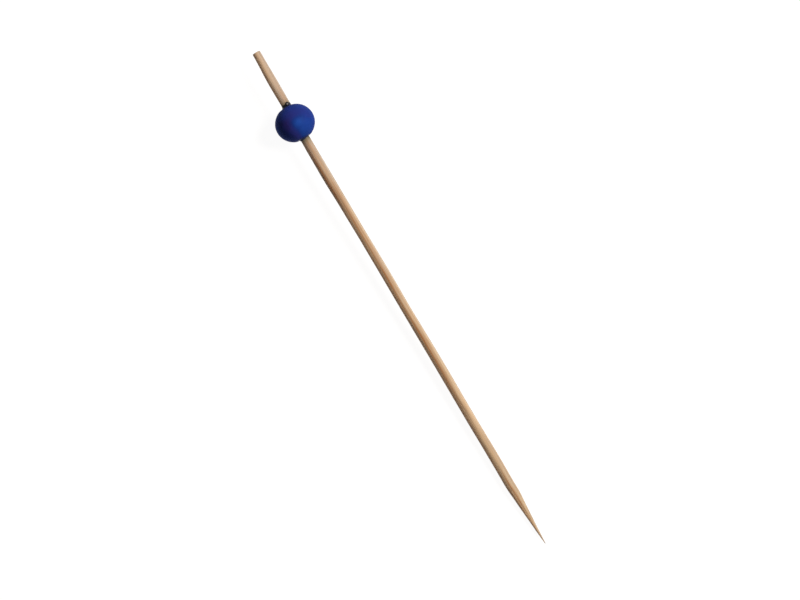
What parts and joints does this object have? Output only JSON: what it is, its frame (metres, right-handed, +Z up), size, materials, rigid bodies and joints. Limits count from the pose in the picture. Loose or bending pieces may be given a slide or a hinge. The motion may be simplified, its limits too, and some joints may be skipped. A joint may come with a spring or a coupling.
{
  "type": "toothpick",
  "caption": "Round bamboo party pick with a sharpened point, a square sawn end and a blue painted wooden bead glued on near the sawn end.",
  "frame": {"origin": "on the table, under the middle of the pick's overall length and width, with the pick lying at rest on its bead and on the shoulder of its point", "axes": "+Z up from the table; +X from the point towards the sawn end, along the pick as seen from above, though the stick climbs 2.1 degrees that way because the bead lifts it; the drop of glue at the bead's upper mouth is on the -Y side"},
  "size_m": [0.1142, 0.0082, 0.0082],
  "materials": {
    "bamboo": "matte",
    "blue_paint": "satin",
    "dark_glue": "gloss"
  },
  "bodies": {
    "root": {"bamboo_stick": "bamboo", "wooden_bead": "blue_paint", "glue_seam": "dark_glue"}
  },
  "joints": []
}
